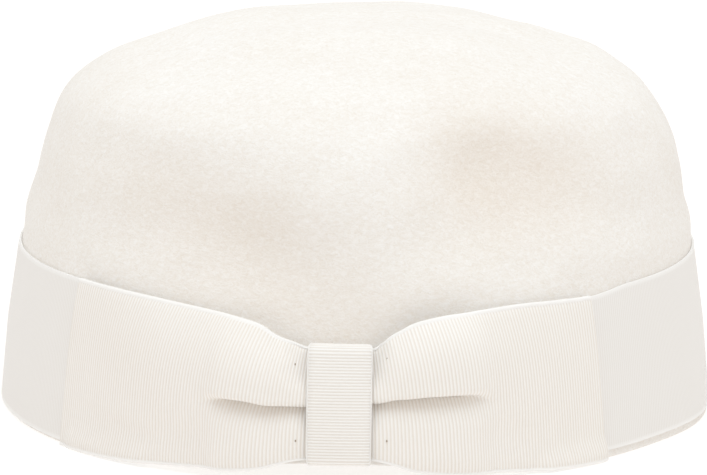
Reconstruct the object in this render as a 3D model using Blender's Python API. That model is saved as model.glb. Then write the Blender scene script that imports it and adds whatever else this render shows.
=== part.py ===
"""Pillbox hat: a soft felt crown, a wide ribbon band and a flat bow held by a knot at the front.

Metres, +Z up. The hat rests on its rim at Z = 0 and the bow faces -Y, so +X is at the right hand of
someone who looks at the bow. The origin is at the bottom centre of the hat's box.

Places on the side of the hat are given by the angle or the arc round from the front centre, from
-180 to 180 degrees, the height above the table, and how far the place stands out from the felt.
"""

import math

import bmesh
import bpy
import numpy as np

# Crown: one moulded felt shell, oval in plan
RIM_HALF_WIDTH = 0.0858
RIM_HALF_DEPTH = 0.1009
CROWN_HEIGHT = 0.0932
FELT_THICKNESS = 0.0020
RIM_RISE = 0.0041
RIM_RISE_HALF_ANGLE = math.radians(38)

# Band: a ring of ribbon drawn tight, so that the felt swells out above it
RIBBON_THICKNESS = 0.0010
BAND_WIDTH = 0.0365
FELT_LIP = 0.0020
BAND_BITE = 0.0009
BAND_BITE_FADE = 0.0040
CLEARANCE = 0.0003

# Bow: a flattened ring of ribbon, gathered at its waist
BOW_LEFT_REACH = 0.0728
BOW_RIGHT_REACH = 0.0651
BOW_WIDTH = 0.0373
BOW_LEAN = 0.0015
BOW_PUFF = 0.0048
FLAT_EDGE_PUFF = 0.25
FRONT_DROP = 0.0007
WAIST_PUFF = 0.0016
WAIST_TOP_DROP = 0.0091
WAIST_BOTTOM_RISE = 0.0048

# Knot: a strip of ribbon wrapped round the waist of the bow
KNOT_WIDTH = 0.0136
KNOT_CROWNING = 0.0004
KNOT_CORNER = 0.0016
KNOT_SLACK = 0.0004
KNOT_EASE = 0.0060

# Outline of the crown from the rim to its top: shares of its height and of its half sizes
OUTLINE = (
    # height, half_size
    (0.000, 1.000),
    (0.375, 0.955),
    (0.555, 0.908),
    (0.685, 0.875),
    (0.786, 0.823),
    (0.866, 0.718),
    (0.932, 0.550),
    (0.972, 0.395),
    (0.993, 0.205),
    (1.000, 0.000),
)

# Dents pressed into the soft felt: degrees round from the front and shares of the crown's height.
# The last two are fuller places, which stand out.
DENTS = (
    # angle, left, right, height, above, below, lean, depth
    (22, 23, 32, 0.650, 0.265, 0.240, -50, 0.0070),
    (-8, 42, 24, 0.430, 0.270, 0.400, -10, 0.0034),
    (88, 45, 60, 0.500, 0.300, 0.120, 0, -0.0014),
    (72, 18, 20, 0.020, 0.300, 0.300, 0, -0.0014),
)

# Bow from the side of its knot to the outer fold, as shares
BOW_SHAPE = (
    # reach, gather, puff, pleat
    (0.00, 1.00, 0.00, 1.00),
    (0.04, 0.90, 0.45, 1.00),
    (0.12, 0.53, 0.85, 1.00),
    (0.21, 0.29, 1.00, 0.97),
    (0.30, 0.14, 0.96, 0.78),
    (0.38, 0.08, 0.84, 0.40),
    (0.47, 0.03, 0.68, 0.10),
    (0.62, 0.00, 0.42, 0.00),
    (0.82, 0.00, 0.15, 0.00),
    (1.00, 0.00, 0.00, 0.00),
)

# The pleat across the front of the bow, from its lower edge to its upper edge, as shares
PLEAT = (
    # width, height, puff
    (0.00, 0.000, 0.30),
    (0.10, 0.105, 0.52),
    (0.22, 0.235, 0.66),
    (0.33, 0.350, 0.60),
    (0.42, 0.440, 0.30),
    (0.48, 0.510, 0.08),
    (0.52, 0.560, 0.08),
    (0.56, 0.560, 0.50),
    (0.61, 0.580, 0.90),
    (0.69, 0.660, 1.00),
    (0.80, 0.775, 0.92),
    (0.90, 0.885, 0.62),
    (1.00, 1.000, 0.22),
)

# How finely each surface is divided
COLUMNS_ROUND = 88
FELT_ROWS_OUTSIDE = 15
FELT_ROWS_INSIDE = 8
BAND_ROWS = 4
BAND_ROWS_INSIDE = 2
BOW_COLUMNS = 17
BOW_ROWS = 10
CROWDING_TO_KNOT = 0.45
FOLD_STEPS = 4
KNOT_COLUMNS = 4
KNOT_FACE_STEPS = 6
CURVE_STEPS = 400

# The bow and knot stand out at the front alone, so the oval's centre lies behind the origin
BAND_OUTSIDE = CLEARANCE + RIBBON_THICKNESS
LAYER = RIBBON_THICKNESS + CLEARANCE
KNOT_BACK = BAND_OUTSIDE + CLEARANCE + RIBBON_THICKNESS / 2
KNOT_FACE = KNOT_BACK + 3 * LAYER + WAIST_PUFF
BAND_TOP = FELT_LIP + BAND_WIDTH
BOW_BOTTOM = FELT_LIP - (BOW_WIDTH - BAND_WIDTH) / 2
BOW_TOP = BOW_BOTTOM + BOW_WIDTH


def smooth_line(points, count):
    """Evenly spaced points on one smooth curve through the given points."""
    points = np.array(points, float)
    steps = np.linalg.norm(np.diff(points, axis=0), axis=1)
    run = np.concatenate([[0.0], np.cumsum(steps)])
    slope = np.gradient(points, run, axis=0)
    at = np.linspace(0.0, run[-1], count)
    k = np.clip(np.searchsorted(run, at, side="right") - 1, 0, len(run) - 2)
    step = (run[k + 1] - run[k])[:, None]
    t = (at - run[k])[:, None] / step
    start = points[k] * (1 + 2 * t) * (1 - t) ** 2 + slope[k] * step * t * (1 - t) ** 2
    end = points[k + 1] * t * t * (3 - 2 * t) - slope[k + 1] * step * t * t * (1 - t)
    return start + end


def ease(value, low, high):
    """0 below low, 1 above high, and smooth between."""
    t = np.clip((np.asarray(value, float) - low) / (high - low), 0.0, 1.0)
    return t * t * (3 - 2 * t)


def hump(share):
    """1 at 0, and 0 from 1 outwards."""
    return np.cos(np.clip(np.abs(share), 0.0, 1.0) * math.pi / 2) ** 2


OUTLINE_CURVE = smooth_line(OUTLINE, CURVE_STEPS)


def half_size_share(height):
    """The crown's half size at a height, as a share of that at the rim."""
    return np.interp(height / CROWN_HEIGHT, OUTLINE_CURVE[:, 0], OUTLINE_CURVE[:, 1])


def dent_depth(angle, height):
    """How far the felt is pressed in at an angle round from the front and a height."""
    degrees = np.degrees(angle)
    share = height / CROWN_HEIGHT
    total = BAND_BITE * (1 - ease(height, band_top(angle), band_top(angle) + BAND_BITE_FADE))
    for centre, left, right, middle, above, below, lean, depth in DENTS:
        across = degrees - centre - lean * (share - middle)
        up = share - middle
        side = np.where(across < 0, across / left, across / right)
        level = np.where(up < 0, up / below, up / above)
        total = total + depth * hump(side) * hump(level)
    return total


def on_felt(angle, height, out):
    """The point at an angle round from the front, a height, and a distance out from the felt."""
    share = half_size_share(height)
    across, along = np.sin(angle), -np.cos(angle)
    lean_x, lean_y = across / RIM_HALF_WIDTH, along / RIM_HALF_DEPTH
    size = np.hypot(lean_x, lean_y)
    move = out - dent_depth(angle, height)
    x = RIM_HALF_WIDTH * share * across + move * lean_x / size
    y = RIM_HALF_DEPTH * share * along + move * lean_y / size
    return np.stack([x, y, np.broadcast_to(height, np.shape(x))], axis=-1)


def arc_table():
    """Angles from the front to the back, and the arc to each along the middle of the band."""
    angles = np.linspace(0.0, math.pi, CURVE_STEPS)
    share = half_size_share(FELT_LIP + BAND_WIDTH / 2)
    x = (RIM_HALF_WIDTH * share + BAND_OUTSIDE) * np.sin(angles)
    y = (RIM_HALF_DEPTH * share + BAND_OUTSIDE) * np.cos(angles)
    steps = np.hypot(np.diff(x), np.diff(y))
    return angles, np.concatenate([[0.0], np.cumsum(steps)])


ANGLES, ARCS = arc_table()


def angle_at(arc):
    return np.sign(arc) * np.interp(np.abs(arc), ARCS, ANGLES)


def arc_at(angle):
    return np.sign(angle) * np.interp(np.abs(angle), ANGLES, ARCS)


def rim_rise(angle):
    """How far the rim lifts off the table at an angle round from the front."""
    return RIM_RISE * hump(angle / RIM_RISE_HALF_ANGLE)


def bow_share(arc, column):
    """A column of the bow's table at an arc from the front centre."""
    reach = np.where(np.asarray(arc) < 0, BOW_LEFT_REACH, BOW_RIGHT_REACH)
    share = (np.abs(arc) - KNOT_WIDTH / 2) / (reach - KNOT_WIDTH / 2)
    return np.interp(share, BOW_CURVE[:, 0], BOW_CURVE[:, column])


BOW_CURVE = smooth_line(BOW_SHAPE, CURVE_STEPS)
PLEAT_CURVE = smooth_line(PLEAT, CURVE_STEPS)


def band_top(angle):
    return BAND_TOP - WAIST_TOP_DROP * bow_share(arc_at(angle), 1)


def bow_edges(arc):
    """Heights of the bow's lower and upper edges."""
    gather = bow_share(arc, 1)
    return BOW_BOTTOM + WAIST_BOTTOM_RISE * gather, BOW_TOP - WAIST_TOP_DROP * gather


def bow_back(arc):
    """How far the middle of the bow's back layer stands out: it steps over the knot's strip."""
    near = KNOT_WIDTH / 2 + 2 * CLEARANCE
    return KNOT_BACK + LAYER * (1 - ease(np.abs(arc), near, near + KNOT_EASE))


def bow_front(arc, width):
    """How far the middle of the bow's front layer stands out, and its height."""
    low, high = bow_edges(arc)
    high = high - FRONT_DROP
    pleat = bow_share(arc, 3)
    puffed = WAIST_PUFF * pleat + BOW_PUFF * bow_share(arc, 2)
    flat_puff = FLAT_EDGE_PUFF + (1 - FLAT_EDGE_PUFF) * np.sin(math.pi * width)
    pleat_height = np.interp(width, PLEAT_CURVE[:, 0], PLEAT_CURVE[:, 1])
    pleat_puff = np.interp(width, PLEAT_CURVE[:, 0], PLEAT_CURVE[:, 2])
    height = low + (high - low) * (width + (pleat_height - width) * pleat)
    out = bow_back(arc) + LAYER + puffed * (flat_puff + (pleat_puff - flat_puff) * pleat)
    return out, height


def material(name, colour, roughness):
    made = bpy.data.materials.new(name)
    made.use_nodes = True
    shader = made.node_tree.nodes["Principled BSDF"]
    shader.inputs["Base Color"].default_value = (*colour, 1.0)
    shader.inputs["Roughness"].default_value = roughness
    shader.inputs["Metallic"].default_value = 0.0
    return made


def add_object(name, points, faces, finish):
    """One closed piece from its points and faces."""
    mesh = bpy.data.meshes.new(name)
    built = bmesh.new()
    corners = [built.verts.new(tuple(float(c) for c in point)) for point in points]
    for face in faces:
        built.faces.new([corners[i] for i in face])
    bmesh.ops.recalc_face_normals(built, faces=built.faces)
    bmesh.ops.triangulate(built, faces=built.faces)
    built.to_mesh(mesh)
    built.free()
    mesh.materials.append(finish)
    mesh.shade_smooth()
    mesh.set_sharp_from_angle(angle=math.radians(50))
    piece = bpy.data.objects.new(name, mesh)
    bpy.context.scene.collection.objects.link(piece)
    return piece


def net(rows, columns):
    """Faces between rows of points that close round the hat."""
    return [
        (r * columns + c, r * columns + (c + 1) % columns,
         (r + 1) * columns + (c + 1) % columns, (r + 1) * columns + c)
        for r in range(rows - 1)
        for c in range(columns)
    ]


def closed_net(stations, loop):
    """Faces of a ring whose stations follow each other round and close on the first."""
    last = [(stations - 1) * loop + j for j in range(loop)]
    seam = [(last[j], last[(j + 1) % loop], (j + 1) % loop, j) for j in range(loop)]
    return net(stations, loop) + seam


def ring_of_ribbon(middle, thickness):
    """Points and faces of a closed ribbon from a grid of points down the middle of its thickness.

    The first index goes round the ring and the second across the ribbon. Both sides and both
    edges are closed.
    """
    around = np.roll(middle, -1, axis=0) - np.roll(middle, 1, axis=0)
    across = np.gradient(middle, axis=1)
    normal = np.cross(around, across)
    normal /= np.linalg.norm(normal, axis=-1, keepdims=True)
    outer = middle + normal * thickness / 2
    inner = middle - normal * thickness / 2
    sides = np.concatenate([outer, inner[:, ::-1]], axis=1)
    return sides.reshape(-1, 3), closed_net(*sides.shape[:2])


def to_hat(points):
    """From arc, distance out and height to X, Y and Z."""
    return on_felt(angle_at(points[:, 0]), points[:, 2], points[:, 1])


def columns_round():
    """Angles of the columns round the hat, which the crown and the band share."""
    angles = np.arange(COLUMNS_ROUND) * 2 * math.pi / COLUMNS_ROUND
    return (angles + math.pi) % (2 * math.pi) - math.pi


def band_heights(angles, rows):
    """Heights across the band at each angle: it is gathered where the bow's waist holds it."""
    low = FELT_LIP + np.maximum(rim_rise(angles), WAIST_BOTTOM_RISE * bow_share(arc_at(angles), 1))
    high = band_top(angles)
    return low[None, :] + (high - low)[None, :] * np.linspace(0.0, 1.0, rows + 1)[:, None]


def crown_points(angles, rows_in_band, rows_above, inside):
    """Rows of points up the felt from the rim, without its top point."""
    in_band = band_heights(angles, rows_in_band)
    start = np.interp(in_band[-1] / CROWN_HEIGHT, OUTLINE_CURVE[:, 0], np.arange(CURVE_STEPS))
    share = np.arange(1, rows_above + 1)[:, None] / (rows_above + 1)
    at = start[None, :] + (CURVE_STEPS - 1 - start)[None, :] * share
    above = CROWN_HEIGHT * np.interp(at, np.arange(CURVE_STEPS), OUTLINE_CURVE[:, 0])
    height = np.concatenate([rim_rise(angles)[None, :], in_band, above])
    points = on_felt(angles[None, :], height, 0.0)
    if not inside:
        return points
    around = np.roll(points, -1, axis=1) - np.roll(points, 1, axis=1)
    upward = np.gradient(points, axis=0)
    normal = np.cross(around, upward)
    normal /= np.linalg.norm(normal, axis=-1, keepdims=True)
    moved = points - normal * FELT_THICKNESS
    moved[0, :, 2] = points[0, :, 2]
    return moved


def make_crown(finish):
    angles = columns_round()
    outside = crown_points(angles, BAND_ROWS, FELT_ROWS_OUTSIDE, False)
    inside = crown_points(angles, BAND_ROWS_INSIDE, FELT_ROWS_INSIDE, True)
    rows = np.concatenate([inside[::-1], outside])
    points = list(rows.reshape(-1, 3))
    faces = net(len(rows), COLUMNS_ROUND)
    inner_top, outer_top = len(points), len(points) + 1
    points.append((0.0, 0.0, CROWN_HEIGHT - FELT_THICKNESS))
    points.append((0.0, 0.0, CROWN_HEIGHT))
    last = (len(rows) - 1) * COLUMNS_ROUND
    for c in range(COLUMNS_ROUND):
        following = (c + 1) % COLUMNS_ROUND
        faces.append((inner_top, following, c))
        faces.append((outer_top, last + c, last + following))
    return add_object("crown", points, faces, finish)


def make_band(finish):
    angles = columns_round()
    height = band_heights(angles, BAND_ROWS).T
    inner = on_felt(angles[:, None], height, CLEARANCE)
    outer = on_felt(angles[:, None], height, BAND_OUTSIDE)
    sides = np.concatenate([outer, inner[:, ::-1]], axis=1)
    return add_object("hat_band", sides.reshape(-1, 3), closed_net(*sides.shape[:2]), finish)


def bow_arcs(reach):
    """Arcs from the front centre to one outer fold, closer together near the knot."""
    share = np.linspace(0.0, 1.0, BOW_COLUMNS + 1)[1:]
    return (reach - LAYER / 2) * (share - CROWDING_TO_KNOT * share * (1 - share))


def fold(start, end, side):
    """Stations of a half turn of ribbon between the end of one layer and the start of the next."""
    turn = np.arange(1, FOLD_STEPS)[:, None, None] * math.pi / FOLD_STEPS
    steps = (start + end) / 2 - (end - start) / 2 * np.cos(turn)
    steps[..., 0] += side * np.sin(turn[..., 0]) * LAYER / 2
    return steps


def make_bow(finish):
    """A closed ring of ribbon: the back layer, a fold, the front layer and the other fold."""
    right, left = bow_arcs(BOW_RIGHT_REACH), bow_arcs(BOW_LEFT_REACH)
    arcs = np.concatenate([-left[::-1], [0.0], right])[:, None]
    width = np.linspace(0.0, 1.0, BOW_ROWS + 1)[None, :]
    reach = np.where(arcs < 0, BOW_LEFT_REACH, BOW_RIGHT_REACH)
    leaning = arcs * (1 - BOW_LEAN * (width - 0.5) / reach)
    low, high = bow_edges(arcs)
    back_height = low + (high - low) * width
    back_out = np.broadcast_to(bow_back(arcs), leaning.shape)
    back = np.stack([leaning, back_out, back_height], axis=-1)
    front = np.stack([leaning, *bow_front(arcs, width)], axis=-1)[::-1]
    right_fold, left_fold = fold(back[-1], front[0], 1), fold(front[-1], back[0], -1)
    middle = np.concatenate([back, right_fold, front, left_fold])
    points, faces = ring_of_ribbon(middle, RIBBON_THICKNESS)
    return add_object("bow", to_hat(points), faces, finish)


def knot_outline():
    """The knot's strip from the side, round its four corners and up its face and its back."""
    low, high = bow_edges(0.0)
    spare = CLEARANCE + KNOT_SLACK + RIBBON_THICKNESS / 2
    low, high = low - spare, high + spare
    corners = (
        # out, height, corner's centre from there, first direction in degrees
        (KNOT_FACE, low, -1, 1, -90),
        (KNOT_FACE, high, -1, -1, 0),
        (KNOT_BACK, high, 1, -1, 90),
        (KNOT_BACK, low, 1, 1, 180),
    )
    outline = []
    for out, height, toward_out, toward_height, first in corners:
        centre_out = out + toward_out * KNOT_CORNER
        centre_height = height + toward_height * KNOT_CORNER
        for step in range(FOLD_STEPS + 1):
            turn = math.radians(first + 90 * step / FOLD_STEPS)
            reach = KNOT_CORNER * math.cos(turn), KNOT_CORNER * math.sin(turn)
            outline.append((centre_out + reach[0], centre_height + reach[1]))
    straight = np.arange(1, KNOT_FACE_STEPS)[:, None] / KNOT_FACE_STEPS
    outline = np.array(outline)
    corner = FOLD_STEPS + 1
    face = outline[corner - 1] + (outline[corner] - outline[corner - 1]) * straight
    face[:, :1] += KNOT_CROWNING * np.sin(math.pi * straight)
    back = outline[3 * corner - 1] + (outline[3 * corner] - outline[3 * corner - 1]) * straight
    parts = (outline[:corner], face, outline[corner:3 * corner], back, outline[3 * corner:])
    return np.concatenate(parts)


def make_knot(finish):
    """A closed ring of ribbon round the bow's waist."""
    outline = knot_outline()
    arcs = np.linspace(-KNOT_WIDTH / 2, KNOT_WIDTH / 2, KNOT_COLUMNS + 1)
    middle = np.zeros((len(outline), len(arcs), 3))
    middle[..., 0] = arcs[None, :]
    middle[..., 1:] = outline[:, None, :]
    points, faces = ring_of_ribbon(middle, RIBBON_THICKNESS)
    return add_object("knot", to_hat(points), faces, finish)


def centre_on_origin(pieces):
    """Moves every piece back so that the bow in front leaves the origin at the box's centre."""
    reaches = [v.co.y for piece in pieces for v in piece.data.vertices]
    shift = -(min(reaches) + max(reaches)) / 2
    for piece in pieces:
        piece.location.y = shift


def main():
    for old in list(bpy.data.objects):
        bpy.data.objects.remove(old)
    pieces = [
        make_crown(material("ivory_wool_felt", (0.86, 0.82, 0.76), 0.95)),
        make_band(material("band_grosgrain", (0.85, 0.81, 0.75), 0.72)),
        make_bow(material("bow_grosgrain", (0.86, 0.82, 0.76), 0.72)),
        make_knot(material("knot_grosgrain", (0.87, 0.83, 0.77), 0.70)),
    ]
    centre_on_origin(pieces)


main()
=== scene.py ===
"""Looks of the pillbox hat: brushed wool felt, ribbon with real ribs, and soft studio light.

Metres, in the frame of the solids. Places on the side of the hat are given by the angle or the arc
round from the front centre, the height above the table, and how far they stand out from the felt.
"""

import math

import bpy
import numpy as np
from mathutils import Matrix, Vector


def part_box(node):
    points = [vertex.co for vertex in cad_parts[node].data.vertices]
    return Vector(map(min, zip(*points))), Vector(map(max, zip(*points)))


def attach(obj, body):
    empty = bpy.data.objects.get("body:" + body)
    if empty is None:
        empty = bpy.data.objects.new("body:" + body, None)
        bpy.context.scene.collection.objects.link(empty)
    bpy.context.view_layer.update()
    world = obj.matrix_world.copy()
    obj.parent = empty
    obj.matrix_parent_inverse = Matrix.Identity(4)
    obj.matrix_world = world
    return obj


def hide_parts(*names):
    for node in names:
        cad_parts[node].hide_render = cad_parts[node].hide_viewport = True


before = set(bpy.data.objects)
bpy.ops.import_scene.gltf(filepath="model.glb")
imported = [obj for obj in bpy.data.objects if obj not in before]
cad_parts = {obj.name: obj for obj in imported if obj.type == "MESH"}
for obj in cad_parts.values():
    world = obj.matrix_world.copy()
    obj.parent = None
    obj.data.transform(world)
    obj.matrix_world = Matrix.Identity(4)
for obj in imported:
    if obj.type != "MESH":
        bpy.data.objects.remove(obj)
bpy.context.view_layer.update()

crown_low, crown_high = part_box("crown")
band_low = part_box("hat_band")[0]

# The felt's form: an oval crown whose rim lifts at the front, pressed in under the band
BAND_BITE = 0.0009
BAND_BITE_FADE = 0.0040
OVAL_RATIO = 1.176
RIM_HALF_WIDTH = BAND_BITE - crown_low[0]
RIM_HALF_DEPTH = RIM_HALF_WIDTH * OVAL_RATIO
CENTRE_Y = crown_high[1] + BAND_BITE - RIM_HALF_DEPTH
CROWN_HEIGHT = crown_high[2]
FELT_THICKNESS = 0.0020
FELT_LIP = band_low[2]
RIM_RISE = 0.0041
RIM_RISE_HALF_ANGLE = math.radians(38)
RIM_ROUNDING = 0.0005
FELT_UNDER_RIBBON = 0.0003
FELT_SWELL = 0.0080

# Rows of felt round the corner of the rim: height, and share of the corner's rounding
RIM_CORNER = ((0.0, 1.0), (0.00010, 0.45), (0.00035, 0.10), (0.00080, 0.0))

# Soft, shallow waves over the felt
WAVES = (
    # wavelength, size
    (0.060, 0.00028),
    (0.036, 0.00020),
    (0.021, 0.00012),
    (0.012, 0.00006),
)
WAVES_OF_EACH = 3
WAVE_SEED = 7

# Ribbon. Its ribs run across it, and each selvedge is a smooth cord with a groove beside it.
BAND_WIDTH = 0.0365
BAND_OUTSIDE = 0.0013
RIBBON_THICKNESS = 0.0006
RIB_PITCH = 0.00078
KNOT_RIB_PITCH = 0.00066
RIB_HEIGHT = 0.00011
SELVEDGE = 0.0008
SELVEDGE_GROOVE = 0.00012
KNOT_SELVEDGE = 0.0003
CORD_HEIGHT = 0.00004
CORD_PITCH = 0.00028
EDGE_ROUNDED = 0.00022
HAIRLINE = 0.0001

# Shares of the selvedge's width: where the ribs start, and the middle and half width of its groove.
# Then the share of the ribbon's thickness that its edge loses, and of a rib's height that is sunk.
SELVEDGE_FADE = (0.8, 1.2)
GROOVE_PLACE, GROOVE_HALF_WIDTH = 1.05, 0.30
EDGE_ROUNDING = 0.35
RIB_FOOT = 0.6

# The band sags on the left: how far, and the arcs over which the sag starts and ends
BAND_LEFT_SAG = 0.0012
SAG_STARTS = (0.055, 0.075)
SAG_ENDS = (0.200, 0.260)

# Bow: the back layer lies on the band, and the front layer swells out on both sides of the knot,
# which is a little to the right of the front centre. Reaches are from the middle of the knot.
KNOT_SHIFT = 0.0006
BOW_LEFT_REACH = 0.0747
BOW_RIGHT_REACH = 0.0658
BOW_WIDTH = 0.0375
BOW_BELOW_BAND = 0.0004
BOW_LAYER = 0.0007
BOW_LEAN = 0.0015
BOW_PUFF = 0.0034
WAIST_PUFF = 0.0028
WAIST_TOP_DROP = 0.0091
WAIST_BOTTOM_RISE = 0.0048
BACK_DROP = 0.0004
RIB_LEAN = 0.15
CREASE_LEFT_END = 0.0286
CREASE_RIGHT_END = 0.0325
CREASE_RIGHT_LIFT = 0.0009

# Knot
KNOT_WIDTH = 0.0140
KNOT_TAPER = 0.04
KNOT_CROWNING = 0.0004
KNOT_CORNER = 0.0016
KNOT_SPARE = 0.0008
KNOT_EASE = 0.0060
KNOT_FACE = 0.0068

BAND_TOP = FELT_LIP + BAND_WIDTH
BOW_BOTTOM = FELT_LIP - BOW_BELOW_BAND
BOW_TOP = BOW_BOTTOM + BOW_WIDTH
BOW_BACK = BAND_OUTSIDE + RIBBON_THICKNESS / 2 + HAIRLINE

# Outline of the crown from the rim to its top: shares of its height and of its half sizes
OUTLINE = (
    # height, half_size
    (0.000, 1.000),
    (0.375, 0.955),
    (0.555, 0.908),
    (0.685, 0.875),
    (0.786, 0.823),
    (0.866, 0.718),
    (0.932, 0.550),
    (0.972, 0.395),
    (0.993, 0.205),
    (1.000, 0.000),
)

# Dents pressed into the soft felt: degrees round from the front, shares of the crown's height, and
# a depth. lean is how many degrees a dent's middle moves round between the rim and the top. The last
# two are fuller places, which stand out.
DENTS = (
    # angle, left, right, height, above, below, lean, depth
    (30, 26, 38, 0.690, 0.275, 0.240, -15, 0.0078),
    (-18, 36, 27, 0.550, 0.300, 0.500, -65, 0.0040),
    (88, 45, 60, 0.500, 0.300, 0.120, 0, -0.0014),
    (72, 18, 20, 0.020, 0.300, 0.300, 0, -0.0014),
)

# The felt's colour is darkest and warmest, as painted shade, this deep in a dent
DENT_SHADE_DEPTH = 0.0064

# Bow from the side of its knot to the outer fold. reach is a share of the loop's reach, and the rest
# are shares of the waist's drop at its top, of its rise at its bottom, of the puff and of the lean.
BOW_SHAPE = (
    # reach, left_gather, right_gather, bottom_gather, puff, rib_lean
    (0.00, 1.00, 1.00, 0.90, 0.10, 0.30),
    (0.015, 0.98, 0.98, 0.88, 0.22, 0.36),
    (0.04, 0.93, 0.88, 0.82, 0.42, 0.45),
    (0.08, 0.84, 0.68, 0.66, 0.68, 0.60),
    (0.12, 0.74, 0.54, 0.48, 0.86, 0.75),
    (0.21, 0.45, 0.31, 0.24, 1.00, 1.00),
    (0.30, 0.33, 0.21, 0.10, 0.98, 1.00),
    (0.38, 0.26, 0.17, 0.02, 0.86, 1.00),
    (0.47, 0.19, 0.13, -0.06, 0.70, 1.00),
    (0.62, 0.10, 0.08, -0.20, 0.44, 0.95),
    (0.82, 0.03, 0.10, -0.29, 0.16, 0.60),
    (1.00, 0.00, 0.12, -0.30, 0.00, 0.10),
    (1.25, 0.00, 0.00, -0.30, 0.00, 0.10),
)
LEFT_GATHER, RIGHT_GATHER, BOTTOM_GATHER, PUFF, LEAN = range(1, 6)

# How much of the pleat is left, from the side of the knot to the end of its crease
PLEAT_FADE = (
    # reach, pleat
    (0.00, 1.00),
    (0.45, 1.00),
    (0.68, 0.98),
    (0.85, 0.86),
    (1.00, 0.48),
    (1.12, 0.13),
    (1.25, 0.00),
)

# The front of the bow from its lower edge to its upper edge: where each place across the ribbon lies
# and how far it stands out where the bow is pleated, and how far it stands out where it is flat
PLEAT = (
    # width, height, puff, flat_puff
    (0.00, 0.000, 0.66, 0.00),
    (0.10, 0.112, 0.84, 0.24),
    (0.20, 0.225, 0.90, 0.44),
    (0.29, 0.320, 0.82, 0.60),
    (0.36, 0.390, 0.58, 0.71),
    (0.41, 0.445, 0.34, 0.78),
    (0.45, 0.487, 0.18, 0.84),
    (0.49, 0.492, 0.54, 0.89),
    (0.54, 0.505, 0.88, 0.94),
    (0.62, 0.590, 1.00, 1.00),
    (0.74, 0.725, 0.97, 0.93),
    (0.87, 0.865, 0.70, 0.58),
    (1.00, 1.000, 0.12, 0.00),
)

# The bow's rows crowd together at the crease: even shares across the bow, and where each then lies
CROWDED_ROWS = ((0.0, 0.28, 0.76, 1.0), (0.0, 0.33, 0.60, 1.0))

# Soft creases in the front of the bow: the line's ends as arcs and heights, then its half width
# and its depth. A crease with a depth below 0 is a soft ridge.
CREASES = (
    # arc, height, to_arc, to_height, half_width, depth
    (-0.0085, 0.0295, -0.0080, 0.0250, 0.0048, 0.0012),
    (0.0092, 0.0290, 0.0088, 0.0250, 0.0045, 0.0010),
    (-0.0705, 0.0100, -0.0440, 0.0070, 0.0036, 0.0006),
    (-0.0690, 0.0020, -0.0470, 0.0010, 0.0040, -0.0008),
    (0.0400, 0.0085, 0.0150, 0.0110, 0.0070, 0.0008),
    (-0.0380, 0.0095, -0.0150, 0.0110, 0.0070, 0.0008),
    (0.0640, 0.0020, 0.0500, 0.0010, 0.0050, -0.0012),
)

# Thread tacks that hold the bow's pleats: the arc and the share across the ribbon of each
TACKS = ((-0.0104, 0.85), (0.0122, 0.87), (-0.0084, 0.17), (0.0106, 0.17))
TACK_LENGTH = 0.0005
TACK_RADIUS = 0.00016

# How finely each surface is divided. A row on a selvedge is given as a share of the selvedge's width.
CURVE_STEPS = 1200
FELT_COLUMNS = 384
FELT_ROWS_IN_BAND, FELT_ROWS_ABOVE = 8, 104
LINING_ROWS_IN_BAND, LINING_ROWS_ABOVE = 5, 44
STEPS_PER_RIB = 4
BACK_STEPS_PER_RIB = 2
KNOT_STEPS_PER_RIB = 6
FOLD_RIBS = 2
TURN_STEPS = 8
BAND_ROWS, BOW_ROWS, KNOT_ROWS = 5, 38, 8
SELVEDGE_ROWS = (0.0, 0.11, 0.33, 0.60, 0.85, 1.05, 1.35)
BACK_ROW_STEP = 3
TACK_RINGS, TACK_SIDES = 7, 8

# Colours of the felt between its fibres and on them, on even felt and with painted shade deep in a dent
FELT_DARK, FELT_LIGHT = (0.826, 0.772, 0.706), (0.922, 0.903, 0.880)
DENT_SHADE_DARK, DENT_SHADE_LIGHT = (0.797, 0.721, 0.638), (0.894, 0.848, 0.800)

# Colours of a ribbon on the crests of its ribs, with painted shade in the valleys between them, and on its
# selvedges
# The band's selvedge colour is lighter than its crests: partly the selvedge's own lighter tone, partly a
# painted highlight on a strip that sits in shade under the felt
BAND_COLOURS = ((0.882, 0.862, 0.840), (0.800, 0.763, 0.720), (0.925, 0.908, 0.887))
BOW_COLOURS = ((0.950, 0.932, 0.911), (0.795, 0.730, 0.655), (0.935, 0.917, 0.894))
KNOT_COLOURS = ((0.960, 0.948, 0.935), (0.775, 0.718, 0.650), (0.900, 0.878, 0.850))
THREAD_DARK, THREAD_LIGHT = (0.30, 0.23, 0.17), (0.44, 0.36, 0.28)

# Grain of the finishes as repeats in a metre, and how deep it is
NAP, FIBRE, FELT_CLOUD, NAP_DEPTH = 780.0, 2100.0, 42.0, 0.0005
RIBBON_THREAD, RIBBON_CLOUD, RIBBON_GRAIN_DEPTH = 2400.0, 60.0, 0.00008
TACK_TWIST, TACK_TWIST_DEPTH = 4000.0, 0.00005

# Studio: a glowing pale floor, a warm even sky and one cool softbox high over the front
FLOOR_HALF = 6.0
FLOOR_COLOUR = (0.32, 0.32, 0.32)
FLOOR_GLOW, FLOOR_GLOW_STRENGTH = (1.0, 0.980, 0.955), 0.76
SKY_COLOUR, SKY_STRENGTH = (1.0, 0.960, 0.924), 0.65
SOFTBOX_PLACE = (0.10, -0.42, 3.2)
SOFTBOX_SIZE = 4.5
SOFTBOX_POWER = 90.0
SOFTBOX_COLOUR = (0.872, 0.955, 1.0)
SOFTBOX_AIM_HEIGHT = 0.04

# Camera, fitted to the photo: its distance, its angles, and in pixels of a picture 707 wide its focal
# length and how far it aims to the right of its target and below it
CAMERA_DISTANCE = 1.150
CAMERA_HEIGHT, CAMERA_SIDE, CAMERA_ROLL = math.radians(9.57), math.radians(2.3), math.radians(0.52)
CAMERA_TARGET_HEIGHT = 0.0487
PICTURE_WIDTH = 707
FOCAL_PIXELS = 4738.0
AIM_RIGHT, AIM_DOWN = -3.5, 44.0
SENSOR_WIDTH = 36.0


# Form

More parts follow.
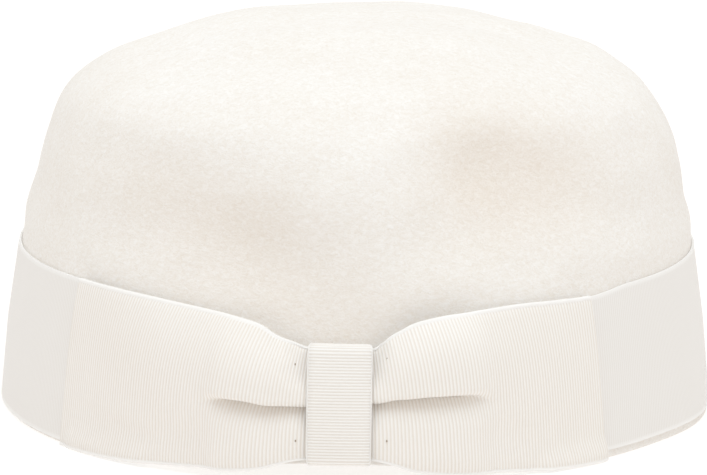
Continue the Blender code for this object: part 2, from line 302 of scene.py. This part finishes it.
def smooth_line(points, count):
    """Evenly spaced points on one smooth curve through the given points."""
    points = np.array(points, float)
    steps = np.linalg.norm(np.diff(points[:, :2], axis=0), axis=1)
    run = np.concatenate([[0.0], np.cumsum(steps)])
    slope = np.gradient(points, run, axis=0)
    at = np.linspace(0.0, run[-1], count)
    k = np.clip(np.searchsorted(run, at, side="right") - 1, 0, len(run) - 2)
    step = (run[k + 1] - run[k])[:, None]
    t = (at - run[k])[:, None] / step
    start = points[k] * (1 + 2 * t) * (1 - t) ** 2 + slope[k] * step * t * (1 - t) ** 2
    end = points[k + 1] * t * t * (3 - 2 * t) - slope[k + 1] * step * t * t * (1 - t)
    return start + end


def ease(value, low, high):
    """0 below low, 1 above high, and smooth between."""
    t = np.clip((np.asarray(value, float) - low) / (high - low), 0.0, 1.0)
    return t * t * (3 - 2 * t)


def hump(share):
    """1 at 0, and 0 from 1 outwards."""
    return np.cos(np.clip(np.abs(share), 0.0, 1.0) * math.pi / 2) ** 2


OUTLINE_CURVE = smooth_line(OUTLINE, CURVE_STEPS)
BOW_CURVE = smooth_line(BOW_SHAPE, CURVE_STEPS)
FADE_CURVE = smooth_line(PLEAT_FADE, CURVE_STEPS)
PLEAT_CURVE = smooth_line(PLEAT, CURVE_STEPS)


def half_size_share(height):
    """The crown's half width at a height, as a share of the rim's."""
    return np.interp(height / CROWN_HEIGHT, OUTLINE_CURVE[:, 0], OUTLINE_CURVE[:, 1])


def arc_table():
    """Angles from the front to the back, and the arc to each along the middle of the band."""
    angles = np.linspace(0.0, math.pi, CURVE_STEPS)
    share = half_size_share((FELT_LIP + BAND_TOP) / 2)
    x = (RIM_HALF_WIDTH * share + BAND_OUTSIDE) * np.sin(angles)
    y = (RIM_HALF_DEPTH * share + BAND_OUTSIDE) * np.cos(angles)
    steps = np.hypot(np.diff(x), np.diff(y))
    return angles, np.concatenate([[0.0], np.cumsum(steps)])


ANGLES, ARCS = arc_table()
HALF_ROUND = float(ARCS[-1])


def angle_at(arc):
    """The angle round from the front at an arc along the band, positive to the right."""
    return np.sign(arc) * np.interp(np.abs(arc), ARCS, ANGLES)


def arc_at(angle):
    """The arc along the band at an angle round from the front."""
    return np.sign(angle) * np.interp(np.abs(angle), ANGLES, ARCS)


def past_knot(arc, left_end, right_end):
    """0 beside the knot and 1 at the end that belongs to the arc's side."""
    aside = np.asarray(arc) - KNOT_SHIFT
    end = np.where(aside < 0, left_end, right_end)
    return (np.abs(aside) - KNOT_WIDTH / 2) / (end - KNOT_WIDTH / 2)


def bow_share(arc, column):
    """A column of the bow's table at an arc from the front centre."""
    share = past_knot(arc, BOW_LEFT_REACH, BOW_RIGHT_REACH)
    return np.interp(share, BOW_CURVE[:, 0], BOW_CURVE[:, column])


def top_gather(arc):
    """How far the upper edge is drawn down to the knot, as a share."""
    left, right = bow_share(arc, LEFT_GATHER), bow_share(arc, RIGHT_GATHER)
    return np.where(arc < KNOT_SHIFT, left, right)


def pleat_share(arc):
    """1 where the bow is fully pleated and 0 past the end of its crease."""
    share = past_knot(arc, CREASE_LEFT_END, CREASE_RIGHT_END)
    return np.interp(share, FADE_CURVE[:, 0], FADE_CURVE[:, 1])


def rim_rise(angle):
    """How far the rim lifts off the table."""
    return RIM_RISE * hump(angle / RIM_RISE_HALF_ANGLE)


def band_top(angle):
    """The height of the band's upper edge, which follows the bow's down to the knot."""
    return BAND_TOP - WAIST_TOP_DROP * top_gather(arc_at(angle))


def band_bite(angle, height):
    """How far the band presses the felt in, fading out above the ribbon."""
    top = band_top(angle)
    return BAND_BITE * (1 - ease(height, top, top + BAND_BITE_FADE))


def dent_depth(angle, height):
    """How far the dents press the felt in. It is below 0 on the fuller places."""
    degrees = np.degrees(angle)
    share = height / CROWN_HEIGHT
    total = np.zeros(np.broadcast(angle, height).shape)
    for centre, left, right, middle, above, below, lean, depth in DENTS:
        across = degrees - centre - lean * (share - middle)
        up = share - middle
        side = np.where(across < 0, across / left, across / right)
        level = np.where(up < 0, up / below, up / above)
        total = total + depth * hump(side) * hump(level)
    return total


def on_felt(angle, height, out):
    """The point at an angle, a height and a distance out from where the band bites into the felt."""
    share = half_size_share(height)
    across, along = np.sin(angle), -np.cos(angle)
    lean_x, lean_y = across / RIM_HALF_WIDTH, along / RIM_HALF_DEPTH
    size = np.hypot(lean_x, lean_y)
    move = out - dent_depth(angle, height) - band_bite(angle, height)
    x = RIM_HALF_WIDTH * share * across + move * lean_x / size
    y = RIM_HALF_DEPTH * share * along + move * lean_y / size + CENTRE_Y
    return np.stack([x, y, np.broadcast_to(height, np.shape(x))], axis=-1)


def to_hat(points):
    """From arc, distance out and height to X, Y and Z."""
    return on_felt(angle_at(points[..., 0]), points[..., 2], points[..., 1])


def bow_edges(arc):
    """The heights of the bow's lower and upper edge."""
    low = BOW_BOTTOM + WAIST_BOTTOM_RISE * bow_share(arc, BOTTOM_GATHER)
    return low, BOW_TOP - WAIST_TOP_DROP * top_gather(arc)


def bow_back(arc):
    """How far the middle of the bow's back layer stands out: it steps over the knot's strip."""
    near = KNOT_WIDTH / 2
    return BOW_BACK + BOW_LAYER * (1 - ease(np.abs(arc - KNOT_SHIFT), near, near + KNOT_EASE))


def crease_depth(arc, height):
    """How far the soft creases press the front of the bow in."""
    total = np.zeros(np.broadcast(arc, height).shape)
    for arc_0, height_0, arc_1, height_1, half_width, depth in CREASES:
        run_arc, run_height = arc_1 - arc_0, height_1 - height_0
        length = math.hypot(run_arc, run_height)
        along = ((arc - arc_0) * run_arc + (height - height_0) * run_height) / length
        aside = ((arc - arc_0) * run_height - (height - height_0) * run_arc) / length
        past = np.maximum(np.maximum(-along, along - length), 0.0)
        total = total + depth * hump(np.hypot(aside, past) / half_width)
    return total


def bow_front(arc, width):
    """Arc, distance out and height of the front layer's middle, with its ribs leaning to the knot."""
    side = np.clip((arc - KNOT_SHIFT) / (KNOT_WIDTH / 2), -1.0, 1.0)
    arc = arc - side * RIB_LEAN * bow_share(arc, LEAN) * width ** 2 * BOW_WIDTH / 2
    low, high = bow_edges(arc)
    pleat = pleat_share(arc)
    pleat_height, pleat_puff, flat_puff = (
        np.interp(width, PLEAT_CURVE[:, 0], PLEAT_CURVE[:, column]) for column in (1, 2, 3))
    height = low + (high - low) * (width + (pleat_height - width) * pleat)
    height = height + CREASE_RIGHT_LIFT * np.maximum(side, 0.0) * pleat * hump(2 * pleat_height - 1)
    puffed = WAIST_PUFF * pleat + BOW_PUFF * bow_share(arc, PUFF)
    out = puffed * (flat_puff + (pleat_puff - flat_puff) * pleat)
    out = np.maximum(out - crease_depth(arc, height), 0.0)
    return arc, bow_back(arc) + BOW_LAYER + out, height


# Meshes

def net(rows, columns, closed_rows=False):
    """Quads between rows of points that close round, as an array of corner numbers."""
    count = rows if closed_rows else rows - 1
    r, c = np.meshgrid(np.arange(count), np.arange(columns), indexing="ij")
    following, above = (c + 1) % columns, (r + 1) % rows
    corners = (r * columns + c, r * columns + following, above * columns + following, above * columns + c)
    return np.stack(corners, axis=-1).reshape(-1, 4)


def add_piece(name, points, faces, finish, node=None, marks=None):
    """One smooth mesh that rides on the hat's only body. marks holds a vector for each point."""
    mesh = bpy.data.meshes.new(name)
    mesh.from_pydata(points.tolist(), [], [list(face) for face in faces])
    mesh.validate()
    if marks is not None:
        attribute = mesh.attributes.new("marks", "FLOAT_VECTOR", "POINT")
        attribute.data.foreach_set("vector", np.asarray(marks, np.float32).ravel())
    mesh.materials.append(finish)
    mesh.shade_smooth()
    piece = bpy.data.objects.new(name, mesh)
    bpy.context.scene.collection.objects.link(piece)
    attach(piece, "root")
    if node:
        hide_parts(node)
    return piece


def felt_heights(angles, rows_in_band, rows_above):
    """Heights of the felt's rows: round the rim's corner, up to the band's top, then to the crown's."""
    rise = rim_rise(angles)[None, :]
    corner = np.array(RIM_CORNER)[:, :1]
    low, high = FELT_LIP + rise[0], band_top(angles)
    band = low + (high - low) * np.linspace(0.0, 1.0, rows_in_band)[:, None]
    steps = np.arange(CURVE_STEPS)
    start = np.interp(high / CROWN_HEIGHT, OUTLINE_CURVE[:, 0], steps)
    share = np.arange(1, rows_above + 1)[:, None] / (rows_above + 1)
    above = CROWN_HEIGHT * np.interp(start + (CURVE_STEPS - 1 - start) * share, steps, OUTLINE_CURVE[:, 0])
    return np.concatenate([rise + corner, band, above])


def unevenness(points):
    """The waves over the felt, as a distance outwards."""
    generator = np.random.default_rng(WAVE_SEED)
    total = np.zeros(points.shape[:-1])
    for wavelength, size in WAVES:
        for _ in range(WAVES_OF_EACH):
            direction = generator.normal(size=3)
            direction /= np.linalg.norm(direction)
            phase = generator.uniform(0, 2 * math.pi)
            total += size * np.sin(points @ direction * 2 * math.pi / wavelength + phase)
    return total


def felt_surface(angles, rows_in_band, rows_above, inside):
    """The felt's outer or inner side as rows of points, from the rim up to just under its top."""
    heights = felt_heights(angles, rows_in_band, rows_above)
    top = band_top(angles)
    free = ease(heights, top, top + FELT_SWELL)
    # The felt fills the band's bite to just under the band
    out = band_bite(angles[None, :], heights) - FELT_UNDER_RIBBON * (1 - free)
    points = on_felt(angles[None, :], heights, out)
    around = np.roll(points, -1, axis=1) - np.roll(points, 1, axis=1)
    normal = np.cross(around, np.gradient(points, axis=0))
    normal /= np.linalg.norm(normal, axis=-1, keepdims=True)
    points = points + normal * (unevenness(points) * free)[..., None]
    corner = slice(len(RIM_CORNER))
    rounding = RIM_ROUNDING * np.array(RIM_CORNER)[:, 1, None, None]
    outwards = normal[corner] * np.array([1.0, 1.0, 0.0])
    if inside:
        points = points - normal * FELT_THICKNESS
        points[corner, :, 2] = heights[corner]
        points[corner] += outwards * rounding
    else:
        points[corner] -= outwards * rounding
    return points


def painted_dent_shade(points):
    """How much painted shade each point of the felt gets: how deep in a dent it lies, from 0 to 1."""
    across, along = points[:, 0] / RIM_HALF_WIDTH, (CENTRE_Y - points[:, 1]) / RIM_HALF_DEPTH
    return np.clip(dent_depth(np.arctan2(across, along), points[:, 2]) / DENT_SHADE_DEPTH, 0.0, 1.0)


def make_crown(finish):
    """The felt's inner and outer side as one closed shell, joined round the rim's edge."""
    angles = np.arange(FELT_COLUMNS) * 2 * math.pi / FELT_COLUMNS
    angles = (angles + math.pi) % (2 * math.pi) - math.pi
    outside = felt_surface(angles, FELT_ROWS_IN_BAND, FELT_ROWS_ABOVE, False)
    inside = felt_surface(angles, LINING_ROWS_IN_BAND, LINING_ROWS_ABOVE, True)
    rows = np.concatenate([inside[::-1], outside])
    tops = [[0.0, CENTRE_Y, inside[-1, :, 2].mean()], [0.0, CENTRE_Y, outside[-1, :, 2].mean()]]
    points = np.concatenate([rows.reshape(-1, 3), tops])
    inner_top, outer_top = len(points) - 2, len(points) - 1
    last = (len(rows) - 1) * FELT_COLUMNS
    faces = list(net(len(rows), FELT_COLUMNS))
    for column in range(FELT_COLUMNS):
        following = (column + 1) % FELT_COLUMNS
        faces.append((inner_top, following, column))
        faces.append((outer_top, last + column, last + following))
    marks = np.zeros_like(points)
    # The first mark is how much painted shade the dents give the felt
    marks[:, 0] = painted_dent_shade(points)
    add_piece("felt_crown", points, faces, finish, "crown", marks)


def across_ribbon(width, selvedge, rows, spread=((0.0, 1.0), (0.0, 1.0))):
    """Shares across a ribbon, close together in its two selvedges. spread crowds the rows between."""
    edge = np.array(SELVEDGE_ROWS) * selvedge / width
    share = np.interp(np.linspace(0.0, 1.0, rows + 2)[1:-1], *spread)
    return np.concatenate([edge, edge[-1] + (1 - 2 * edge[-1]) * share, 1 - edge[::-1]])


def selvedge_mask(share, width, selvedge):
    """1 on the selvedges and 0 on the ribs between them."""
    from_edge = np.minimum(share, 1 - share) * width
    starts, ends = SELVEDGE_FADE
    return 1 - ease(from_edge, selvedge * starts, selvedge * ends)


def relief(along, width, selvedge, share):
    """How far the ribbon's face stands out from its even thickness: ribs between two selvedges."""
    from_edge = np.minimum(share, 1 - share) * width
    rib = np.abs(np.sin(math.pi * along))
    cord = CORD_HEIGHT * hump(2 * from_edge / selvedge - 1)
    groove = -SELVEDGE_GROOVE * hump((from_edge / selvedge - GROOVE_PLACE) / GROOVE_HALF_WIDTH)
    rounded = -EDGE_ROUNDING * RIBBON_THICKNESS * (1 - ease(from_edge, 0.0, EDGE_ROUNDED))
    ribs = RIB_HEIGHT * (rib[:, None] - RIB_FOOT) * (1 - selvedge_mask(share, width, selvedge))
    return ribs + cord + groove + rounded


def add_ribbon(name, middle, along, width, selvedge, share, ribbed, finish, node):
    """A closed ring of ribbon with ribs on its outer side.

    middle is a grid of points down the middle of its thickness, as arc, distance out and height:
    the first index goes round the ring and the second across it. along counts its ribs, share is
    the place across it, and ribbed is 1 where the ribs show and 0 where the outer side is plain.
    """
    around = np.roll(middle, -1, axis=0) - np.roll(middle, 1, axis=0)
    around[..., 0] = (around[..., 0] + HALF_ROUND) % (2 * HALF_ROUND) - HALF_ROUND
    normal = np.cross(around, np.gradient(middle, axis=1))
    normal /= np.linalg.norm(normal, axis=-1, keepdims=True)
    raised = relief(along, width, selvedge, share) * ribbed[:, None]
    outer = middle + normal * (RIBBON_THICKNESS / 2 + raised)[..., None]
    first, last = len(SELVEDGE_ROWS) - 1, len(share) - 1
    back_rows = np.array([last, last - 1, *range(last - first, first - 1, -BACK_ROW_STEP), 1, 0])
    inner = (middle - normal * RIBBON_THICKNESS / 2)[:, back_rows]
    sides = np.concatenate([outer, inner], axis=1)
    share = np.concatenate([share, share[back_rows]])
    edge = selvedge_mask(share, width, selvedge)
    marks = np.stack(np.broadcast_arrays(along[:, None], share * width, edge), axis=-1)
    faces = net(*sides.shape[:2], closed_rows=True)
    return add_piece(name, to_hat(sides).reshape(-1, 3), faces, finish, node, marks.reshape(-1, 3))


def make_band(finish):
    length = 2 * HALF_ROUND
    ribs = round(length / RIB_PITCH)
    count = ribs * STEPS_PER_RIB
    along = np.arange(count) / STEPS_PER_RIB
    arcs = (np.arange(count) / count * length + HALF_ROUND) % length - HALF_ROUND
    share = across_ribbon(BAND_WIDTH, SELVEDGE, BAND_ROWS)
    angles = angle_at(arcs)
    low = FELT_LIP + np.maximum(rim_rise(angles), WAIST_BOTTOM_RISE * bow_share(arcs, BOTTOM_GATHER))
    low -= BAND_LEFT_SAG * ease(-arcs, *SAG_STARTS) * (1 - ease(-arcs, *SAG_ENDS))
    height = low[:, None] + (band_top(angles) - low)[:, None] * share
    out = np.full_like(height, BAND_OUTSIDE - RIBBON_THICKNESS / 2 - RIB_HEIGHT / 2)
    middle = np.stack([np.broadcast_to(arcs[:, None], height.shape), out, height], axis=-1)
    ribbed = np.ones(count)
    piece = add_ribbon("band_ribbon", middle, along, BAND_WIDTH, SELVEDGE, share, ribbed,
                       finish, "hat_band")


def fold(start, end, side):
    """Stations of a half turn of ribbon between the end of one layer and the start of the next."""
    turn = np.arange(1, TURN_STEPS)[:, None, None] * math.pi / TURN_STEPS
    steps = (start + end) / 2 - (end - start) / 2 * np.cos(turn)
    steps[..., 0] += side * np.sin(turn[..., 0]) * np.abs(end - start)[..., 1] / 2
    return steps


def make_bow(finish):
    """One closed ring of ribbon: its back, a fold at the right, its pleated front, a fold at the left."""
    share = across_ribbon(BOW_WIDTH, SELVEDGE, BOW_ROWS, CROWDED_ROWS)
    left, right = BOW_LEFT_REACH - BOW_LAYER / 2, BOW_RIGHT_REACH - BOW_LAYER / 2
    length = left + right
    ribs = round(length / RIB_PITCH)

    def stations(steps_per_rib):
        along = np.arange(ribs * steps_per_rib + 1) / steps_per_rib
        arcs = (KNOT_SHIFT - left + length * along / ribs)[:, None]
        reach = np.where(arcs < KNOT_SHIFT, BOW_LEFT_REACH, BOW_RIGHT_REACH)
        return along, arcs, (KNOT_SHIFT - arcs) * BOW_LEAN * (share - 0.5) / reach

    back_along, arcs, lean = stations(BACK_STEPS_PER_RIB)
    low, high = bow_edges(arcs)
    high = high - BACK_DROP
    back = np.stack(np.broadcast_arrays(arcs + lean, bow_back(arcs), low + (high - low) * share), axis=-1)
    front_along, arcs, lean = stations(STEPS_PER_RIB)
    front = np.stack(np.broadcast_arrays(*bow_front(arcs, share[None, :])), axis=-1)
    front[..., 0] += lean
    turn = np.arange(1, TURN_STEPS) / TURN_STEPS * FOLD_RIBS
    parts = (back, fold(back[-1], front[-1], 1), front[::-1], fold(front[0], back[0], -1))
    starts = (0, ribs, ribs + FOLD_RIBS, 2 * ribs + FOLD_RIBS)
    runs = (back_along, turn, front_along, turn)
    along = np.concatenate([start + run for start, run in zip(starts, runs)])
    ribbed = np.concatenate([np.full(len(part), float(part is not back)) for part in parts])
    middle = np.concatenate(parts)
    piece = add_ribbon("bow_ribbon", middle, along, BOW_WIDTH, SELVEDGE, share, ribbed,
                       finish, "bow")


def knot_outline():
    """The knot's strip from the side, round its face, its top and its back, spaced by its ribs."""
    low, high = (float(edge) for edge in bow_edges(KNOT_SHIFT))
    low, high = low - KNOT_SPARE, high + KNOT_SPARE
    corners = ((KNOT_FACE, low, -1, 1, -90), (KNOT_FACE, high, -1, -1, 0),
               (BOW_BACK, high, 1, -1, 90), (BOW_BACK, low, 1, 1, 180))
    outline = []
    for out, height, toward_out, toward_height, first in corners:
        for step in range(TURN_STEPS + 1):
            turn = math.radians(first + 90 * step / TURN_STEPS)
            outline.append((out + KNOT_CORNER * (toward_out + math.cos(turn)),
                            height + KNOT_CORNER * (toward_height + math.sin(turn))))
    outline = np.array(outline + outline[:1])
    run = np.concatenate([[0.0], np.cumsum(np.linalg.norm(np.diff(outline, axis=0), axis=1))])
    ribs = round(run[-1] / KNOT_RIB_PITCH)
    along = np.arange(ribs * KNOT_STEPS_PER_RIB) / KNOT_STEPS_PER_RIB
    even = np.stack([np.interp(along / ribs * run[-1], run, outline[:, k]) for k in range(2)], axis=-1)
    on_face = even[:, 0] > (KNOT_FACE + BOW_BACK) / 2
    height_share = np.clip((even[:, 1] - low) / (high - low), 0.0, 1.0)
    even[:, 0] += np.where(on_face, KNOT_CROWNING * np.sin(math.pi * height_share), 0.0)
    return even, along, float(run[-1])


def make_knot(finish):
    """A closed ring of ribbon round the bow's waist, a little narrower towards its lower end."""
    outline, along, length = knot_outline()
    share = across_ribbon(KNOT_WIDTH, KNOT_SELVEDGE, KNOT_ROWS)
    height = outline[:, 1]
    below = (height.max() - height) / (height.max() - height.min())
    width = KNOT_WIDTH * (1 - KNOT_TAPER * below) * half_size_share(height.mean()) / half_size_share(height)
    middle = np.zeros((len(outline), len(share), 3))
    middle[..., 0] = KNOT_SHIFT + width[:, None] * (share - 0.5)
    middle[..., 1:] = outline[:, None, :]
    ribbed = np.ones(len(outline))
    piece = add_ribbon("knot_ribbon", middle, along, KNOT_WIDTH, KNOT_SELVEDGE, share, ribbed,
                       finish, "knot")


def make_tacks(finish):
    """Short stitches of thread, each a small bead on the front of the bow."""
    points, faces = [], []
    for arc, width in TACKS:
        centre = np.array([float(part) for part in bow_front(arc, width)])
        centre[1] += RIBBON_THICKNESS / 2 + TACK_RADIUS / 2
        first = len(points)
        for ring in range(TACK_RINGS):
            tilt = math.pi * (ring + 0.5) / TACK_RINGS - math.pi / 2
            for side in range(TACK_SIDES):
                turn = 2 * math.pi * side / TACK_SIDES
                radius = TACK_RADIUS * math.cos(tilt)
                offset = (radius * math.cos(turn), radius * math.sin(turn), TACK_LENGTH / 2 * math.sin(tilt))
                points.append(centre + offset)
        faces += [tuple(first + corner for corner in face) for face in net(TACK_RINGS, TACK_SIDES)]
        faces.append(tuple(first + side for side in reversed(range(TACK_SIDES))))
        faces.append(tuple(len(points) - TACK_SIDES + side for side in range(TACK_SIDES)))
    add_piece("tacking_stitches", to_hat(np.array(points)), faces, finish)


# Finishes

MIX_FIRST, MIX_SECOND, MIX_RESULT = 6, 7, 2


class Value:
    """A value in a finish. Sums, differences and products of values add their Math nodes."""

    def __init__(self, finish, socket):
        self.finish = finish
        self.socket = socket

    def __add__(self, other):
        return self.finish.math("ADD", self, other)

    def __radd__(self, other):
        return self.finish.math("ADD", other, self)

    def __sub__(self, other):
        return self.finish.math("SUBTRACT", self, other)

    def __rsub__(self, other):
        return self.finish.math("SUBTRACT", other, self)

    def __mul__(self, other):
        return self.finish.math("MULTIPLY", self, other)

    def __rmul__(self, other):
        return self.finish.math("MULTIPLY", other, self)


class Finish:
    """A material, with one method for every kind of node."""

    def __init__(self, name, roughness, sheen, specular=0.25):
        self.material = bpy.data.materials.new(name)
        self.material.use_nodes = True
        self.tree = self.material.node_tree
        self.shader = self.tree.nodes["Principled BSDF"]
        self.shader.inputs["Roughness"].default_value = roughness
        self.shader.inputs["Sheen Weight"].default_value = sheen
        self.shader.inputs["Sheen Roughness"].default_value = 0.6
        self.shader.inputs["Specular IOR Level"].default_value = specular

    def node(self, kind, settings, sockets, output=0):
        """A node's output: its type, its settings, then the values or links of its sockets."""
        made = self.tree.nodes.new(kind)
        for name, setting in settings.items():
            setattr(made, name, setting)
        for name, value in sockets.items():
            self.feed(made.inputs[name], value)
        return Value(self, made.outputs[output])

    def feed(self, socket, value):
        """Link a value to a socket, or set the socket to a number, a vector or a colour."""
        if isinstance(value, Value):
            self.tree.links.new(value.socket, socket)
        elif socket.type == "RGBA":
            socket.default_value = (*value, 1.0)
        else:
            socket.default_value = value

    def math(self, operation, *values):
        return self.node("ShaderNodeMath", {"operation": operation}, dict(enumerate(values)))

    def mix(self, factor, first, second):
        """A colour from the first, at factor 0, to the second, at factor 1."""
        sockets = {0: factor, MIX_FIRST: first, MIX_SECOND: second}
        return self.node("ShaderNodeMix", {"data_type": "RGBA"}, sockets, MIX_RESULT)

    def noise(self, scale, detail, stretch=(1.0, 1.0, 1.0), distortion=0.0):
        place = self.node("ShaderNodeTexCoord", {}, {}, "Object")
        place = self.node("ShaderNodeMapping", {}, {"Vector": place, "Scale": stretch})
        sockets = {"Vector": place, "Scale": scale, "Detail": detail, "Distortion": distortion}
        return self.node("ShaderNodeTexNoise", {}, sockets)

    def contrast(self, value, low, high):
        """value stretched so that low becomes 0 and high 1."""
        sockets = {"Value": value, "From Min": low, "From Max": high}
        return self.node("ShaderNodeMapRange", {}, sockets)

    def bump(self, height, strength, distance):
        sockets = {"Height": height, "Strength": strength, "Distance": distance}
        return self.node("ShaderNodeBump", {}, sockets)

    def paint(self, colour, normal):
        self.feed(self.shader.inputs["Base Color"], colour)
        self.feed(self.shader.inputs["Normal"], normal)
        return self.material


def wool_felt():
    """Brushed felt, with painted shade, darker and warmer, deep in its dents, which is what the first of its
    marks gives.
    """
    felt = Finish("brushed_wool_felt", 0.95, 0.08, 0.15)
    nap = felt.noise(NAP, 3.0, (1.0, 1.0, 1.8), 1.0)
    fibre = felt.noise(FIBRE, 2.0, (1.0, 1.0, 1.6), 0.5)
    cloud = felt.noise(FELT_CLOUD, 3.0)
    tone = felt.contrast(0.5 * nap + 0.3 * fibre + 0.2 * cloud, 0.34, 0.66)
    marks = felt.node("ShaderNodeAttribute", {"attribute_name": "marks"}, {}, "Vector")
    dent_shade = felt.node("ShaderNodeSeparateXYZ", {}, {"Vector": marks}, "X")
    even = felt.mix(tone, FELT_DARK, FELT_LIGHT)
    # A darker, warmer copy of the felt's colours, painted as shade deep in the dents
    deep = felt.mix(tone, DENT_SHADE_DARK, DENT_SHADE_LIGHT)
    return felt.paint(felt.mix(dent_shade, even, deep), felt.bump(0.65 * nap + 0.35 * fibre, 0.35, NAP_DEPTH))


def grosgrain(name, crest, valley_shade, selvedge):
    """Ribbed silk, with painted shade in the valleys between its ribs. Its marks are the ribs counted along
    it, the way across it, and 1 on a selvedge.
    """
    ribbon = Finish(name, 0.66, 0.10)
    marks = ribbon.node("ShaderNodeAttribute", {"attribute_name": "marks"}, {}, "Vector")
    along, across, edge = (ribbon.node("ShaderNodeSeparateXYZ", {}, {"Vector": marks}, k) for k in range(3))
    # Painted shade: the colour darkens from the rib crests into the valleys between them
    rib = 0.5 - 0.5 * ribbon.math("COSINE", along * (2 * math.pi))
    shown = rib * (1 - edge) + edge
    cloud = ribbon.noise(RIBBON_CLOUD, 3.0)
    thread = ribbon.noise(RIBBON_THREAD, 2.0)
    tone = 0.70 * shown + 0.18 * cloud + 0.12 * thread
    silk = ribbon.mix(edge, ribbon.mix(tone, valley_shade, crest), selvedge)
    cords = 0.5 - 0.5 * ribbon.math("COSINE", across * (2 * math.pi / CORD_PITCH))
    return ribbon.paint(silk, ribbon.bump(0.6 * thread + 0.4 * cords * edge, 0.25, RIBBON_GRAIN_DEPTH))


def thread_finish():
    thread = Finish("tacking_thread", 0.8, 0.0)
    twist = thread.noise(TACK_TWIST, 1.0)
    colour = thread.mix(twist, THREAD_DARK, THREAD_LIGHT)
    return thread.paint(colour, thread.bump(twist, 0.2, TACK_TWIST_DEPTH))


# Studio

def make_floor():
    half = FLOOR_HALF
    corners = [(-half, -half, 0), (half, -half, 0), (half, half, 0), (-half, half, 0)]
    mesh = bpy.data.meshes.new("studio_floor")
    mesh.from_pydata(corners, [], [(0, 1, 2, 3)])
    floor = bpy.data.objects.new("studio_floor", mesh)
    bpy.context.scene.collection.objects.link(floor)
    pale = Finish("pale_floor", 0.9, 0.0, 0.0)
    pale.feed(pale.shader.inputs["Base Color"], FLOOR_COLOUR)
    pale.feed(pale.shader.inputs["Emission Color"], FLOOR_GLOW)
    pale.feed(pale.shader.inputs["Emission Strength"], FLOOR_GLOW_STRENGTH)
    mesh.materials.append(pale.material)


def make_softbox():
    light = bpy.data.lights.new("overhead_softbox", "AREA")
    light.shape = "SQUARE"
    light.size = SOFTBOX_SIZE
    light.energy = SOFTBOX_POWER
    light.color = SOFTBOX_COLOUR
    lamp = bpy.data.objects.new("overhead_softbox", light)
    lamp.location = SOFTBOX_PLACE
    aim = Vector((0.0, CENTRE_Y, SOFTBOX_AIM_HEIGHT)) - Vector(SOFTBOX_PLACE)
    lamp.rotation_euler = aim.to_track_quat("-Z", "Y").to_euler()
    bpy.context.scene.collection.objects.link(lamp)


def make_sky():
    world = bpy.data.worlds.new("studio")
    bpy.context.scene.world = world
    world.use_nodes = True
    sky = world.node_tree.nodes["Background"]
    sky.inputs["Color"].default_value = (*SKY_COLOUR, 1.0)
    sky.inputs["Strength"].default_value = SKY_STRENGTH


def make_camera():
    """A long lens, a little to the right of the front and a little above the hat."""
    height, side, roll = CAMERA_HEIGHT, CAMERA_SIDE, CAMERA_ROLL
    target = Vector((0.0, CENTRE_Y, CAMERA_TARGET_HEIGHT))
    back = Vector((math.sin(side) * math.cos(height), -math.cos(side) * math.cos(height), math.sin(height)))
    place = target + back * CAMERA_DISTANCE
    level = Vector((0, 0, 1)).cross(back).normalized()
    upright = back.cross(level)
    right = level * math.cos(roll) + upright * math.sin(roll)
    up = upright * math.cos(roll) - level * math.sin(roll)
    aim = target + (right * AIM_RIGHT - up * AIM_DOWN) * (CAMERA_DISTANCE / FOCAL_PIXELS)
    back = (place - aim).normalized()
    right = up.cross(back).normalized()
    up = back.cross(right)
    lens = bpy.data.cameras.new("camera")
    lens.sensor_width = SENSOR_WIDTH
    lens.lens = FOCAL_PIXELS / PICTURE_WIDTH * SENSOR_WIDTH
    camera = bpy.data.objects.new("camera", lens)
    camera.matrix_world = Matrix.Translation(place) @ Matrix((right, up, back)).transposed().to_4x4()
    bpy.context.scene.collection.objects.link(camera)
    bpy.context.scene.camera = camera


make_camera()
make_crown(wool_felt())
make_band(grosgrain("band_grosgrain", *BAND_COLOURS))
make_bow(grosgrain("bow_grosgrain", *BOW_COLOURS))
make_knot(grosgrain("knot_grosgrain", *KNOT_COLOURS))
make_tacks(thread_finish())
make_floor()
make_sky()
make_softbox()
bpy.context.scene.view_settings.view_transform = "Standard"
